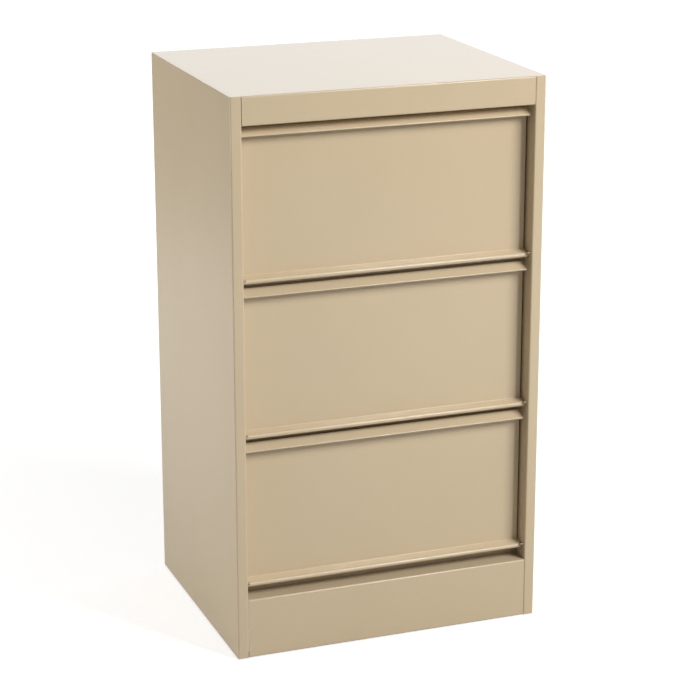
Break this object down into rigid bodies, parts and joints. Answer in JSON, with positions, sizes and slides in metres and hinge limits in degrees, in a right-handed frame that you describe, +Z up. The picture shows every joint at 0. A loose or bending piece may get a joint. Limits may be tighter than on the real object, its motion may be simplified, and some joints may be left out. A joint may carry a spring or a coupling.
{
  "type": "filing cabinet",
  "caption": "Upright painted sheet-steel filing cabinet with recessed drop-front flaps, each hinged along its bottom edge and pulled open by a full-width folded lip, over a flush plinth.",
  "frame": {"origin": "on the floor, under the middle of the cabinet", "axes": "+Z up, +X to the right as seen from the front, +Y to the back; the flaps face -Y"},
  "size_m": [0.415, 0.34, 0.73],
  "materials": {
    "painted_sheet": "semi-gloss sand-beige powder coat",
    "rod_steel": "bright drawn steel",
    "bush_zinc": "zinc-plated steel, dull and a little straw-coloured",
    "buffer_rubber": "moulded black rubber",
    "glide_plastic": "moulded black plastic"
  },
  "bodies": {
    "carcass": {"left_side_panel": "painted_sheet", "right_side_panel": "painted_sheet", "top_panel": "painted_sheet", "top_stop_rail": "painted_sheet", "back_panel": "painted_sheet", "plinth_panel": "painted_sheet", "rear_base_rail": "painted_sheet", "floor_panel": "painted_sheet", "lower_shelf": "painted_sheet", "upper_shelf": "painted_sheet", "left_base_plate": "painted_sheet", "right_base_plate": "painted_sheet", "front_left_glide": "glide_plastic", "front_right_glide": "glide_plastic", "rear_left_glide": "glide_plastic", "rear_right_glide": "glide_plastic", "bottom_left_bush": "bush_zinc", "bottom_right_bush": "bush_zinc", "middle_left_bush": "bush_zinc", "middle_right_bush": "bush_zinc", "top_left_bush": "bush_zinc", "top_right_bush": "bush_zinc", "bottom_left_buffer": "buffer_rubber", "bottom_right_buffer": "buffer_rubber", "middle_left_buffer": "buffer_rubber", "middle_right_buffer": "buffer_rubber", "top_left_buffer": "buffer_rubber", "top_right_buffer": "buffer_rubber"},
    "bottom_flap": {"bottom_flap_panel": "painted_sheet", "bottom_hinge_rod": "rod_steel"},
    "middle_flap": {"middle_flap_panel": "painted_sheet", "middle_hinge_rod": "rod_steel"},
    "top_flap": {"top_flap_panel": "painted_sheet", "top_hinge_rod": "rod_steel"}
  },
  "joints": [
    {"name": "bottom_flap_hinge", "type": "hinge", "parent": "carcass", "child": "bottom_flap", "pos_m": [0, -0.1595, 0.0985], "axis": [1, 0, 0], "range_deg": [0, 90]},
    {"name": "middle_flap_hinge", "type": "hinge", "parent": "carcass", "child": "middle_flap", "pos_m": [0, -0.1595, 0.297], "axis": [1, 0, 0], "range_deg": [0, 90]},
    {"name": "top_flap_hinge", "type": "hinge", "parent": "carcass", "child": "top_flap", "pos_m": [0, -0.1595, 0.498], "axis": [1, 0, 0], "range_deg": [0, 90]}
  ]
}
